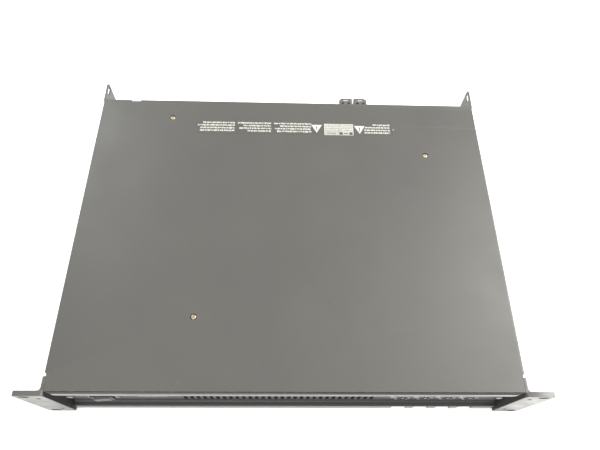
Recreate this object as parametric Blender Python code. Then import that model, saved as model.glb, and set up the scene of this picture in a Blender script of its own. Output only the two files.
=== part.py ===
"""Four-channel rack power amplifier, two rack units high, as an assembly of separate pieces.

Run with: blender --background --python part.py

The pieces are drawn in millimetres: x to the right, y from the front face of the rack ears
towards the rear, z up from the underside. placed() turns that into metres about the origin,
which is the middle of the footprint at the underside.
"""

import math

import bmesh
import bpy
from mathutils import Vector

# Driving dimensions, in millimetres
RACK_WIDTH = 482.6          # over both rack ears, the 19 inch standard
UNIT_HEIGHT = 88.1          # two rack units less the usual clearance
DEPTH = 359.0               # ear face to the tips of the rear support ears
GAP = 0.3                   # clearance between neighbouring solids
COVER_HALF = 216.8          # half width over the lid's side flanges
COVER_FRONT, COVER_REAR = 4.0, 333.0
RELIEF_Y = 328.2            # where the lid's side flanges end, ahead of the rear ears
SHEET = 1.2                 # lid and tray sheet
SLOT_RISE = 76.2            # between a rack ear's two slots
EAR_THICK = 4.7
EAR_INNER, LEG_OUTER, LEG_REAR = 214.4, 217.2, 17.0
LIP_FRONT, BAND_FRONT = 1.85, 2.8   # front planes of the bezel's upper lip and lower band
FACE_Y, FACE_BACK = 8.6, 10.9
SHELF_TOP, BROW_LOW = 13.0, 76.5
LIP_END_START, LIP_END_RADIUS = 205.1, 18.1    # the lip's front curves back near the ears
REAR_INNER, REAR_OUTER = 331.2, 332.7
VENT_COUNT, VENT_PITCH, VENT_FIRST, VENT_WIDTH = 30, 6.35, -100.0, 3.5
VENT_LOW, VENT_HIGH = 20.5, 62.0
CHANNELS = 4
LEVEL_FIRST, LEVEL_PITCH, LEVEL_Z = 115.2, 22.86, 27.0
LEVEL_HOLE_R = 5.6
LENS_OFFSET, LENS_Z = -11.0, 35.0
SWITCH_X, SWITCH_Z, SWITCH_PIVOT_Y, SWITCH_TILT = -180.6, 29.0, 12.0, 4.0
POWER_LED_X, POWER_LED_Z = -162.0, 33.0
PANEL_SCREW_X, PANEL_SCREW_Z = 209.2, 39.0
COVER_SCREWS = ((-134.7, 308.4), (152.6, 261.1), (-89.5, 72.2))
FAN_X, FAN_Z, FAN_SIZE, FAN_BORE = -8.0, 44.0, 80.0, 38.2
FAN_FRONT, FAN_REAR, FAN_HOLE_SPACING = 305.0, 330.8, 71.5
INLET_X, INLET_Z = -176.0, 30.0
BREAKER_X, BREAKER_Z = -176.0, 66.0
XLR_FIRST, XLR_PITCH, XLR_Z = 110.5, 27.0, 58.0
PLUG_COLUMNS, PLUG_ROWS = (67.2, 84.7), (72.0, 52.0)
PLUG_HALF_W, PLUG_HALF_H, PLUG_REAR = 7.8, 8.0, 348.7
BOARD_LOW, BOARD_TOP = 8.0, 9.6

SMALL, MEDIUM, LARGE = 10, 18, 30    # sides of round pieces

LEVELS = [LEVEL_FIRST + LEVEL_PITCH * i for i in range(CHANNELS)]
XLRS = [XLR_FIRST + XLR_PITCH * i for i in range(CHANNELS)]

# name: (colour, roughness, metallic)
MATERIALS = {
    "black_powder_coat": ((0.035, 0.034, 0.032), 0.55, 0.0),
    "black_anodised": ((0.05, 0.05, 0.05), 0.4, 0.6),
    "front_bezel_finish": ((0.04, 0.04, 0.04), 0.4, 0.4),
    "zinc_plated": ((0.55, 0.53, 0.48), 0.35, 1.0),
    "yellow_zinc": ((0.60, 0.47, 0.24), 0.35, 1.0),
    "black_plastic": ((0.02, 0.02, 0.02), 0.45, 0.0),
    "grey_plastic": ((0.16, 0.16, 0.16), 0.5, 0.0),
    "clear_lens": ((0.75, 0.76, 0.74), 0.2, 0.0),
    "board_green": ((0.03, 0.16, 0.07), 0.45, 0.0),
    "bare_aluminium": ((0.68, 0.69, 0.70), 0.35, 1.0),
    "terminal_black": ((0.03, 0.03, 0.03), 0.5, 0.0),
    "copper_winding": ((0.62, 0.27, 0.10), 0.35, 1.0),
    "ferrite": ((0.09, 0.09, 0.10), 0.7, 0.0),
    "capacitor_sleeve": ((0.03, 0.05, 0.12), 0.35, 0.0),
    "red_plastic": ((0.45, 0.03, 0.02), 0.4, 0.0),
}


def placed(point):
    x, y, z = point
    return Vector((x, y - DEPTH / 2, z)) / 1000


# The faces of a box whose eight corners run root to tip, front to rear, one side to the other
BOX_FACES = [(0, 1, 3, 2), (4, 5, 7, 6), (0, 1, 5, 4), (2, 3, 7, 6), (0, 2, 6, 4), (1, 3, 7, 5)]


# Outlines: lists of 2D points

def arc(centre, radius, start, end, steps):
    cx, cy = centre
    angles = [math.radians(start + (end - start) * i / steps) for i in range(steps + 1)]
    return [(cx + radius * math.cos(a), cy + radius * math.sin(a)) for a in angles]


def circle(centre, radius, sides=MEDIUM):
    return arc(centre, radius, 0, 360 * (sides - 1) / sides, sides - 1)


def rounded(xs, ys, radius, steps=3):
    (x0, x1), (y0, y1) = xs, ys
    corners = ((x1, y1, 0, -1, -1), (x0, y1, 90, 1, -1), (x0, y0, 180, 1, 1), (x1, y0, 270, -1, 1))
    points = []
    for x, y, start, to_x, to_y in corners:
        points += arc((x + to_x * radius, y + to_y * radius), radius, start, start + 90, steps)
    return points


def obround(centre, length, width, steps=5):
    (cx, cy), half, r = centre, (length - width) / 2, width / 2
    return arc((cx + half, cy), r, -90, 90, steps) + arc((cx - half, cy), r, 90, 270, steps)


def span(middle, half):
    return middle - half, middle + half


# Shells: (points, faces), each a closed surface

def prism(axis, outline, ends):
    """The outline, in the two directions other than axis, drawn out between the ends."""
    put = {"X": lambda p, t: (t, *p), "Y": lambda p, t: (p[0], t, p[1]), "Z": lambda p, t: (*p, t)}[axis]
    n = len(outline)
    points = [put(p, t) for t in ends for p in outline]
    sides = [(i, (i + 1) % n, n + (i + 1) % n, n + i) for i in range(n)]
    return points, [tuple(range(n)), tuple(range(n, 2 * n)), *sides]


def block(xs, ys, zs):
    (x0, x1), (y0, y1) = xs, ys
    return prism("Z", [(x0, y0), (x1, y0), (x1, y1), (x0, y1)], zs)


def rod(axis, centre, radius, ends, sides=MEDIUM):
    return prism(axis, circle(centre, radius, sides), ends)


def turned(axis, centre, profile, sides=MEDIUM):
    """A profile of (radius, place along the axis) turned about the axis.

    A profile that starts and ends at radius 0 makes a solid, and any other a ring.
    """
    cx, cy = centre
    solid_body = profile[0][0] == 0 and profile[-1][0] == 0
    inner = profile[1:-1] if solid_body else profile
    points, rows = [], len(inner)
    for radius, t in inner:
        for u, v in circle((cx, cy), radius, sides):
            points.append((u, t, v) if axis == "Y" else (t, u, v) if axis == "X" else (u, v, t))
    faces = []
    for row in range(rows if not solid_body else rows - 1):
        a, b = row * sides, (row + 1) % rows * sides
        faces += [(a + i, a + (i + 1) % sides, b + (i + 1) % sides, b + i) for i in range(sides)]
    if solid_body:
        faces += [tuple(range(sides)), tuple(range((rows - 1) * sides, rows * sides))]
    return points, faces


def mirrored(shell):
    points, faces = shell
    return [(-x, y, z) for x, y, z in points], faces


# Objects

def mesh_object(name, shells, origin=(0, 0, 0)):
    mesh = bpy.data.meshes.new(name)
    shape = bmesh.new()
    base = placed(origin) if any(origin) else Vector()
    for points, faces in shells:
        corners = [shape.verts.new(placed(point) - base) for point in points]
        for face in faces:
            shape.faces.new([corners[i] for i in face])
    bmesh.ops.recalc_face_normals(shape, faces=shape.faces)
    shape.to_mesh(mesh)
    shape.free()
    mesh.shade_smooth()
    mesh.set_sharp_from_angle(angle=math.radians(30))
    obj = bpy.data.objects.new(name, mesh)
    obj.location = base
    bpy.context.scene.collection.objects.link(obj)
    return obj


def boolean(obj, operation, shells, label):
    tool = mesh_object(f"{obj.name}_{label}", shells)
    tool.hide_render = True
    tool.display_type = "WIRE"
    modifier = obj.modifiers.new(label, "BOOLEAN")
    modifier.operation = operation
    modifier.solver = "EXACT"
    modifier.object = tool


def piece(name, material, body, add=(), cut=(), origin=(0, 0, 0), then_add=()):
    """One node: a body, with shells joined to it, then cut from it, then joined in the cuts."""
    obj = mesh_object(name, [body], origin)
    obj.data.materials.append(bpy.data.materials[material])
    for number, shell in enumerate(add):
        boolean(obj, "UNION", [shell], f"add_{number}")
    if cut:
        boolean(obj, "DIFFERENCE", cut, "cut")
    if then_add:
        boolean(obj, "UNION", then_add, "inside")
    return obj


def clear_scene():
    for obj in list(bpy.data.objects):
        bpy.data.objects.remove(obj)


def make_materials():
    for name, (colour, roughness, metallic) in MATERIALS.items():
        material = bpy.data.materials.new(name)
        material.use_nodes = True
        shader = material.node_tree.nodes["Principled BSDF"]
        shader.inputs["Base Color"].default_value = (*colour, 1)
        shader.inputs["Roughness"].default_value = roughness
        shader.inputs["Metallic"].default_value = metallic


# The case

def chassis_tray():
    wall_top = UNIT_HEIGHT - SHEET - 0.5
    outer, inner = COVER_HALF - SHEET - GAP, COVER_HALF - 2 * SHEET - GAP
    joggle = 0.9
    wall = [(inner - joggle, 11.4), (outer - joggle, 11.4), (outer - joggle, LEG_REAR + GAP),
            (outer, LEG_REAR + GAP), (outer, REAR_OUTER), (inner, REAR_OUTER),
            (inner, 18.5), (inner - joggle, 18.5)]
    right = prism("Z", wall, (0.6, wall_top))
    posts = [rod("Z", place, 4.5, (0.6, wall_top), SMALL) for place in COVER_SCREWS]
    boss_places = [(x, y) for x in (-205.0, -62.0) for y in (36.0, 291.0)]
    boss_places += [(x, y) for x in (47.0, 205.0) for y in (66.0, 291.0)]
    bosses = [rod("Z", place, 3.0, (0.6, BOARD_LOW - GAP), 6) for place in boss_places]
    neck, shoulder = outer - joggle - 0.4, LEG_REAR + GAP
    base = prism("Z", [(-neck, 5.3), (neck, 5.3), (neck, shoulder), (outer, shoulder), (outer, REAR_OUTER),
                       (-outer, REAR_OUTER), (-outer, shoulder), (-neck, shoulder)], (0.0, 1.5))
    threads = [rod("Z", place, 1.8, (wall_top - 12, wall_top + 2), SMALL) for place in COVER_SCREWS]
    piece("chassis_tray", "black_powder_coat", base,
          add=[right, mirrored(right), *posts, *bosses], cut=threads)


def top_cover():
    side, top, bend = COVER_HALF, UNIT_HEIGHT, 1.8
    centre = (side - bend, top - bend)
    outer = [(side, 1.9)] + arc(centre, bend, 0, 90, 3)
    inner = arc(centre, bend - SHEET, 90, 0, 2) + [(side - SHEET, 1.9)]
    right = inner + outer
    left = [(-x, z) for x, z in reversed(right)]
    start = len(inner)
    outline = right[start:] + left[:len(outer)] + left[len(outer):] + right[:start]
    sheet = prism("Y", outline, (COVER_FRONT, COVER_REAR))
    corner = block((EAR_INNER - 0.2, side + 2), (0, 20.4), (0, top + 2))
    relief = block((side - 1.5, side + 2), (RELIEF_Y, COVER_REAR + 2), (0, top + 2))
    notch = block((-184.4, -174.1), (COVER_REAR - 1.6, COVER_REAR + 2), (80, top + 2))
    ticks = [block((side - 1.9, side + 1), span(295.5 + 3.15 * i, 0.75), (66, top + 1)) for i in range(10)]
    holes = [rod("Z", place, 3.1, (80, top + 2)) for place in COVER_SCREWS]
    piece("top_cover", "black_powder_coat", sheet,
          cut=[corner, mirrored(corner), relief, mirrored(relief), notch, *ticks, *holes])


def cover_screws():
    top = UNIT_HEIGHT - 0.1
    head = [(0, top), (2.7, top), (2.8, top - 0.3), (1.4, top - 1.7), (1.4, 78.0), (0, 78.0)]
    for number, place in enumerate(COVER_SCREWS, 1):
        piece(f"cover_screw_{number}", "yellow_zinc", turned("Z", place, head, SMALL),
              cut=[block(span(place[0], 1.6), span(place[1], 0.35), (UNIT_HEIGHT - 0.7, UNIT_HEIGHT + 1))])


def bezel_outline():
    """The C-shaped section of the front extrusion, as (y, z): lip, set-back face and lower band."""
    top, back, band, lip = UNIT_HEIGHT - 0.4, BAND_FRONT + 2.2, BAND_FRONT, LIP_FRONT
    lower = [(band, GAP), (band, SHELF_TOP - 1.2)]
    lower += arc((band + 1.2, SHELF_TOP - 1.2), 1.2, 180, 90, 3)[1:]
    lower += arc((FACE_Y - 2.4, SHELF_TOP + 2.4), 2.4, 270, 360, 4)
    upper = arc((FACE_Y - 2.4, BROW_LOW - 2.4), 2.4, 0, 90, 4)
    upper += arc((lip + 1.5, BROW_LOW + 1.5), 1.5, 270, 180, 3)
    upper += arc((lip + 1.7, top - 1.7), 1.7, 180, 90, 5)
    rear = [(3.6, top), (3.6, 86.4), (11.0, 86.4), (11.0, 84.2), (back, 84.2), (back, BROW_LOW + 2.3),
            (FACE_BACK, BROW_LOW + 2.3), (FACE_BACK, SHELF_TOP - 2.2), (back, SHELF_TOP - 2.2), (back, GAP)]
    return lower + upper + rear


def front_panel():
    section = prism("X", bezel_outline(), (-214.1, 214.1))
    ys = (FACE_Y - 1, FACE_BACK + 1)
    vent_places = [VENT_FIRST + VENT_PITCH * i for i in range(VENT_COUNT)]
    vents = [block(span(x, VENT_WIDTH / 2), ys, (VENT_LOW, VENT_HIGH)) for x in vent_places]
    notches = [block(span(x, 7.5), (BAND_FRONT - 1, 6.0), (-1, SHELF_TOP - 1.7)) for x in LEVELS]
    curve = arc((LIP_END_START, LIP_FRONT + LIP_END_RADIUS), LIP_END_RADIUS, 270, 300, 6)
    end = prism("Z", [*curve, (216.0, -1.0), (LIP_END_START, -1.0)], (BROW_LOW - 2, UNIT_HEIGHT + 1))
    holes = [rod("Y", (x, LEVEL_Z), LEVEL_HOLE_R, ys) for x in LEVELS]
    lenses = [block(span(x + LENS_OFFSET, 2.3), ys, span(LENS_Z, 4.8)) for x in LEVELS]
    switch = block(span(SWITCH_X, 9.9), ys, span(SWITCH_Z, 6.7))
    led = rod("Y", (POWER_LED_X, POWER_LED_Z), 1.8, ys, SMALL)
    screws = [rod("Y", (x, PANEL_SCREW_Z), 1.8, ys, SMALL) for x in (-PANEL_SCREW_X, PANEL_SCREW_X)]
    piece("front_panel", "front_bezel_finish", section,
          cut=[*vents, *notches, *holes, *lenses, switch, led, *screws, end, mirrored(end)])


def panel_screws():
    head_front, seat = FACE_Y - GAP - 2.0, FACE_Y - GAP
    head = [(0, head_front), (1.9, head_front), (2.8, head_front + 0.9), (2.8, seat),
            (1.4, seat), (1.4, 17.0), (0, 17.0)]
    for side, x in (("left", -PANEL_SCREW_X), ("right", PANEL_SCREW_X)):
        bars = [block(span(x, 1.5), (0, head_front + 0.8), span(PANEL_SCREW_Z, 0.3))]
        piece(f"panel_screw_{side}", "zinc_plated", turned("Y", (x, PANEL_SCREW_Z), head, SMALL), cut=bars)


def rack_ears():
    edge = RACK_WIDTH / 2
    plate = prism("Y", rounded((EAR_INNER, edge), (0, UNIT_HEIGHT), 2.5), (0, EAR_THICK))
    fillet = arc((LEG_OUTER + 3.2, EAR_THICK + 3.2), 3.2, 180, 270, 4)
    leg_outline = [(EAR_INNER + GAP, EAR_THICK - 1)] + [(EAR_INNER + GAP, LEG_REAR), (LEG_OUTER, LEG_REAR)]
    leg_outline += fillet + [(LEG_OUTER + 3.2, EAR_THICK - 1)]
    leg = prism("Z", leg_outline, (0.4, UNIT_HEIGHT - 0.4))
    ys = (-1, EAR_THICK + 1)
    slots = [prism("Y", obround((232.55, z), 10.0, 6.5), ys)
             for z in span(UNIT_HEIGHT / 2, SLOT_RISE / 2)]
    holes = [rod("Y", (222.9, z), 2.25, (-1, 9), SMALL) for z in (15.0, 73.4)]
    screw_holes = [rod("X", (11.6, z), 2.2, (210, 219), SMALL) for z in (24.0, 64.0)]
    for name, turn in (("rack_ear_left", mirrored), ("rack_ear_right", lambda shell: shell)):
        piece(name, "black_anodised", turn(plate), add=[turn(leg)],
              cut=[turn(shell) for shell in (*slots, *holes, *screw_holes)])


def rear_ears():
    inner, outer = LEG_OUTER - 1.6, LEG_OUTER
    near, far = REAR_OUTER + 0.6, DEPTH
    plate = prism("X", rounded((RELIEF_Y + 2.0, far), (0.3, UNIT_HEIGHT - 0.3), 4.0), (inner, outer))
    foot = block((206.5, outer), (near, near + 1.6), (8.0, 80.0))
    slots = [prism("X", obround((351.0, z), 11.5, 6.0, 4), (inner - 2, outer + 2)) for z in (6.6, 81.5)]
    holes = [rod("Y", (210.5, z), 1.8, (near - 1, near + 3), SMALL) for z in (20.0, 68.0)]
    for name, turn in (("rear_ear_left", mirrored), ("rear_ear_right", lambda shell: shell)):
        piece(name, "black_powder_coat", turn(plate), add=[turn(foot)],
              cut=[turn(shell) for shell in (*slots, *holes)])


# The controls

def power_switch():
    pocket_half, pivot = 8.6, (SWITCH_X, SWITCH_PIVOT_Y)
    flange = prism("Y", rounded(span(SWITCH_X, 10.8), span(SWITCH_Z, 7.6), 1.2, 2),
                   (FACE_Y - 1.5, FACE_Y - GAP))
    body = block(span(SWITCH_X, 9.5), (FACE_Y - 1.0, 30.0), span(SWITCH_Z, 6.3))
    pocket = block(span(SWITCH_X, pocket_half), (0, 15.5), span(SWITCH_Z, 5.5))
    piece("power_switch_housing", "black_plastic", flange, add=[body], cut=[pocket])
    tilt = math.radians(SWITCH_TILT)
    front = [(-8.0, 3.8), (-4.0, 4.5), (0, 4.8), (4.0, 4.5), (8.0, 3.8)]
    shape = front + [(8.0, 12.6), (5.0, 14.0), (-5.0, 14.0), (-8.0, 12.6)]
    outline = []
    for x, y in shape:
        dy = y - SWITCH_PIVOT_Y
        outline.append((SWITCH_X + x * math.cos(tilt) - dy * math.sin(tilt),
                        SWITCH_PIVOT_Y + x * math.sin(tilt) + dy * math.cos(tilt)))
    piece("power_switch_rocker", "grey_plastic", prism("Z", outline, span(SWITCH_Z, 5.1)),
          origin=(*pivot, SWITCH_Z))


def power_led():
    lens = [(0, 8.0), (0.9, 8.15), (1.4, 8.8), (1.4, 14.0), (0, 14.0)]
    piece("power_led", "red_plastic", turned("Y", (POWER_LED_X, POWER_LED_Z), lens, SMALL))


def level_controls():
    knob = [(0, 8.0), (4.3, 8.0), (5.0, 8.7), (5.0, 15.0), (3.3, 15.0), (3.3, 10.4), (0, 10.4)]
    for number, x in enumerate(LEVELS, 1):
        centre = (x, LEVEL_Z)
        pointer = block(span(x, 0.55), (7.0, 8.6), (LEVEL_Z + 0.8, LEVEL_Z + 6.0))
        piece(f"level_knob_{number}", "black_plastic", turned("Y", centre, knob), cut=[pointer],
              origin=(x, FACE_Y, LEVEL_Z))
        case = block(span(x, 6.5), (15.4, 23.7), span(LEVEL_Z, 6.5))
        piece(f"level_pot_{number}", "zinc_plated", case, add=[rod("Y", centre, 3.0, (10.8, 16.0), SMALL)])


def lens_bar():
    """One clear moulding whose four windows pass through the face beside the level controls."""
    first, last = LEVELS[0] + LENS_OFFSET, LEVELS[-1] + LENS_OFFSET
    bar = block((first - 3.0, last + 3.0), (FACE_BACK + 0.4, 14.0), (34.2, 39.2))
    tips = [block(span(x + LENS_OFFSET, 2.0), (FACE_Y - 0.4, 13.0), span(LENS_Z, 4.5)) for x in LEVELS]
    piece("level_lens_bar", "clear_lens", bar, add=tips)


def control_board():
    plate = block((98.0, 208.0), (24.0, 25.6), (12.0, 52.0))
    chips = [block(span(x, 5.0), (25.0, 28.0), (16.0, 24.0)) for x in LEVELS]
    connector = block((140.0, 166.0), (25.0, 33.0), (38.0, 46.0))
    piece("control_board", "board_green", plate, add=[*chips, connector])


# The rear

def rear_panel():
    plate = block((-213.7, 213.7), (REAR_INNER, REAR_OUTER), (1.8, 86.4))
    ys = (REAR_INNER - 1, REAR_OUTER + 1)
    half = FAN_HOLE_SPACING / 2
    fan = [rod("Y", (FAN_X, FAN_Z), 37.6, ys, LARGE)]
    fan += [rod("Y", (x, z), 2.1, ys, 6) for x in span(FAN_X, half) for z in span(FAN_Z, half)]
    inlet = block(span(INLET_X, 14.4), ys, span(INLET_Z, 10.9))
    breaker = rod("Y", (BREAKER_X, BREAKER_Z), 6.0, ys)
    sockets = []
    for x in XLRS:
        key = [(x - 3.5, XLR_Z + 14.6), (x + 3.5, XLR_Z + 14.6)]
        sockets.append(prism("Y", arc((x, XLR_Z), 12.2, 106.8, 433.2, 16) + key[::-1], ys))
    outputs = block((58.1, 93.8), ys, (42.6, 81.4))
    intakes = [block(span(-134.0 + 8.0 * i, 1.8), ys, (14.0, 70.0)) for i in range(9)]
    ear_holes = [rod("Y", (x, z), 1.8, ys, 6) for x in (-210.5, 210.5) for z in (20.0, 68.0)]
    piece("rear_panel", "black_powder_coat", plate,
          cut=[*fan, inlet, breaker, *sockets, outputs, *intakes, *ear_holes])


def mains_inlet():
    ys = (REAR_OUTER + GAP, REAR_OUTER + 2.8)
    x, z = INLET_X, INLET_Z
    flange = prism("Y", [(x - 25, z - 4), (x - 18, z - 11.4), (x + 18, z - 11.4), (x + 25, z - 4),
                         (x + 25, z + 4), (x + 18, z + 11.4), (x - 18, z + 11.4), (x - 25, z + 4)], ys)
    body = block(span(x, 13.9), (312.0, REAR_OUTER + 1.0), span(z, 10.4))
    mouth = [(x - 12.0, z + 8), (x - 12.0, z - 4), (x - 8.0, z - 8),
             (x + 8.0, z - 8), (x + 12.0, z - 4), (x + 12.0, z + 8)]
    socket = prism("Y", mouth, (319.0, REAR_OUTER + 6))
    holes = [rod("Y", (x + dx, z), 1.7, (REAR_OUTER - 1, REAR_OUTER + 5), SMALL) for dx in (-20, 20)]
    blades = [block(span(x + dx, 1.0), (318.0, 329.5), span(z + dz, 2.0))
              for dx, dz in ((-7, -1), (0, 3), (7, -1))]
    piece("mains_inlet", "black_plastic", flange, add=[body], cut=[socket, *holes], then_add=blades)


def breaker():
    centre = (BREAKER_X, BREAKER_Z)
    case = block(span(BREAKER_X, 7.0), (303.0, REAR_INNER - GAP), span(BREAKER_Z, 7.0))
    bush = rod("Y", centre, 5.5, (325.0, 339.0))
    nut = prism("Y", circle(centre, 8.2, 6), (REAR_OUTER + GAP, REAR_OUTER + 3.0))
    piece("breaker_body", "black_plastic", case, add=[bush, nut],
          cut=[rod("Y", centre, 3.5, (327.0, 342.0))])
    button = [(0, 328.0), (3.0, 328.0), (3.0, 340.6), (2.4, 341.2), (0, 341.2)]
    piece("breaker_button", "red_plastic", turned("Y", centre, button),
          origin=(BREAKER_X, 334.0, BREAKER_Z))


def xlr_inputs():
    front, face = 309.0, REAR_OUTER + 2.3
    for number, x in enumerate(XLRS, 1):
        flange = prism("Y", rounded(span(x, 13.0), span(XLR_Z, 15.5), 3.0, 2), (REAR_OUTER + GAP, face))
        body = rod("Y", (x, XLR_Z), 11.7, (front, REAR_OUTER + 1.0))
        moat = turned("Y", (x, XLR_Z),
                      [(7.9, 319.0), (9.6, 319.0), (9.6, face + 2), (7.9, face + 2)])
        pins = [rod("Y", (x + 4.8 * math.cos(math.radians(a)), XLR_Z + 4.8 * math.sin(math.radians(a))),
                    1.4, (326.0, face + 2), 6) for a in (0, 180, 270)]
        latch_pocket = block(span(x, 3.1), (329.0, face + 2), (XLR_Z + 10.1, XLR_Z + 14.2))
        screws = [rod("Y", (x + dx, XLR_Z + dz), 1.6, (REAR_OUTER - 1, face + 1), 6)
                  for dx, dz in ((-9.5, 12.0), (9.5, -12.0))]
        piece(f"xlr_input_{number}", "black_plastic", flange, add=[body],
              cut=[moat, *pins, latch_pocket, *screws])
        low, high, tip = XLR_Z + 10.4, XLR_Z + 13.9, 338.4
        outline = [(331.4, low), (tip - 0.8, low), (tip, low + 1.2), (tip, high - 0.7), (tip - 0.8, high)]
        latch = prism("X", outline + [(331.4, high)], span(x, 2.8))
        piece(f"xlr_latch_{number}", "zinc_plated", latch, origin=(x, face, XLR_Z + 12.0))


def outputs():
    pockets = [block(span(x, 7.0), (323.0, REAR_OUTER + 2), span(z, 6.2))
               for x in PLUG_COLUMNS for z in PLUG_ROWS]
    case = block((58.5, 93.4), (312.0, REAR_OUTER - 0.1), (43.0, 81.0))
    piece("output_header", "terminal_black", case, cut=pockets)
    number = 0
    for x, outward in zip(PLUG_COLUMNS, (-1, 1)):
        for z in PLUG_ROWS:
            number += 1
            w, rear, chamfer = PLUG_HALF_W * outward, PLUG_REAR, 3.0
            outline = [(x - w, REAR_OUTER + 0.9), (x + w, REAR_OUTER + 0.9), (x + w, rear - chamfer),
                       (x + w - chamfer * outward, rear), (x - w, rear)]
            body = prism("Z", outline, span(z, PLUG_HALF_H))
            nose = block(span(x, 6.7), (323.6, REAR_OUTER + 2), span(z, 5.9))
            entries = [block(span(x + dx, 1.8), (rear - 8, rear + 1), span(z - 1.5, 1.9))
                       for dx in (-3.6, 3.6)]
            screws = [rod("Z", (x + dx, 341.0), 1.7, (z + PLUG_HALF_H - 1.6, z + PLUG_HALF_H + 1), 8)
                      for dx in (-3.6, 3.6)]
            piece(f"output_plug_{number}", "terminal_black", body, add=[nose], cut=[*entries, *screws],
                  origin=(x, REAR_OUTER, z))


def fan():
    xs, zs = span(FAN_X, FAN_SIZE / 2), span(FAN_Z, FAN_SIZE / 2)
    half = FAN_HOLE_SPACING / 2
    centre = (FAN_X, FAN_Z)
    frame = prism("Y", rounded(xs, zs, 4.0), (FAN_FRONT, FAN_REAR))
    bore = rod("Y", centre, FAN_BORE, (FAN_FRONT - 1, FAN_REAR + 1), LARGE)
    holes = [rod("Y", (x, z), 2.15, (FAN_FRONT - 1, FAN_REAR + 1), 6)
             for x in span(FAN_X, half) for z in span(FAN_Z, half)]
    mount = rod("Y", centre, 16.5, (FAN_FRONT + 0.2, FAN_FRONT + 2.4))
    arms = block(span(FAN_X, 39.2), (FAN_FRONT + 0.4, FAN_FRONT + 2.2), span(FAN_Z, 2.0))
    post = block(span(FAN_X, 2.0), (FAN_FRONT + 0.6, FAN_FRONT + 2.0), span(FAN_Z, 39.2))
    frame_piece = piece("fan_frame", "black_plastic", frame, cut=[bore, *holes])
    for label, shell in (("mount", mount), ("arms", arms), ("post", post)):
        boolean(frame_piece, "UNION", [shell], label)
    near, far, blades = FAN_FRONT + 3.2, FAN_FRONT + 21.5, 7
    hub = turned("Y", centre, [(0, near), (17.0, near), (17.0, far - 1.5), (15.5, far), (0, far)])
    shells = []
    for number in range(blades):
        turn = 2 * math.pi * number / blades
        corners = []
        for radius, sweep in ((15.5, 0.36), (36.8, 0.50)):
            for end, lead in ((near + 1.0, -sweep), (far - 1.0, sweep)):
                for thick in (-0.9, 0.9):
                    angle = turn + lead + thick / radius
                    x, z = radius * math.cos(angle), radius * math.sin(angle)
                    corners.append((FAN_X + x, end, FAN_Z + z))
        shells.append((corners, BOX_FACES))
    rotor = piece("fan_rotor", "black_plastic", hub, origin=(FAN_X, FAN_FRONT + 12, FAN_Z))
    boolean(rotor, "UNION", shells, "blades")


def fan_guard():
    near, wire, centre = REAR_OUTER + GAP, 1.8, (FAN_X, FAN_Z)
    rings = []
    for radius in (11.0, 20.0, 29.0, 38.0):
        low, high = span(radius, wire / 2)
        section = [(low, near), (high, near), (high, near + wire), (low, near + wire)]
        rings.append(turned("Y", centre, section, 24))
    reach = FAN_HOLE_SPACING / 2 * math.sqrt(2)
    bars, eyes, holes = [], [], []
    for turn in (45, 135):
        c, s = math.cos(math.radians(turn)), math.sin(math.radians(turn))
        along, across = (reach * c, reach * s), (0.9 * s, -0.9 * c)
        outline = [(FAN_X + i * along[0] + j * across[0], FAN_Z + i * along[1] + j * across[1])
                   for i, j in ((-1, -1), (-1, 1), (1, 1), (1, -1))]
        bars.append(prism("Y", outline, (near, near + wire + 0.5)))
        for sign in (-1, 1):
            place = (FAN_X + sign * along[0], FAN_Z + sign * along[1])
            eyes.append(rod("Y", place, 4.0, (near, near + wire), SMALL))
            holes.append(rod("Y", place, 1.8, (near - 2, near + 5), 6))
    piece("fan_guard", "zinc_plated", bars[0], add=[bars[1], *rings, *eyes], cut=holes)


# The inside

def heatsinks():
    """Two finned extrusions face each other and make the fan's air tunnel."""
    base, fin_reach, fins, low, high = 4.0, 34.0, 10, 1.8, 82.0
    pitch, thick = (high - low) / fins, 2.2
    outline = [(34.0, low), (34.0, high), (30.0, high)]
    for number in reversed(range(fins)):
        z = low + pitch * number + pitch / 2
        outline += [(30.0, z + thick / 2), (30.0 - fin_reach, z + thick / 2),
                    (30.0 - fin_reach, z - thick / 2), (30.0, z - thick / 2)]
    outline.append((30.0, low))
    right = prism("Y", outline, (60.0, 303.0))
    middle = FAN_X
    left = [(2 * middle - x, y, z) for x, y, z in right[0]], right[1]
    piece("heatsink_right", "bare_aluminium", right)
    piece("heatsink_left", "bare_aluminium", left)


def input_board():
    plate = block((97.0, 205.0), (306.6, 308.2), (12.0, 82.0))
    parts = [block(span(x, 6.0), (302.0, 307.0), (22.0, 32.0)) for x in XLRS]
    piece("input_board", "board_green", plate, add=parts)


def psu_board():
    plate = block((-211.0, -56.0), (33.0, 297.0), (BOARD_LOW, BOARD_TOP))
    sink = block((-76.0, -71.0), (90.0, 250.0), (9.0, 52.0))
    relays = [block(span(x, 10.0), span(238.0, 8.0), (9.0, 26.0)) for x in (-140.0, -112.0)]
    small = [rod("Z", (-160.0 + 18.0 * i, 60.0), 6.0, (9.0, 30.0), SMALL) for i in range(3)]
    hole = rod("Z", COVER_SCREWS[2], 5.4, (0, 20), SMALL)
    piece("power_supply_board", "board_green", plate, add=[sink, *relays, *small], cut=[hole])


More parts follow.
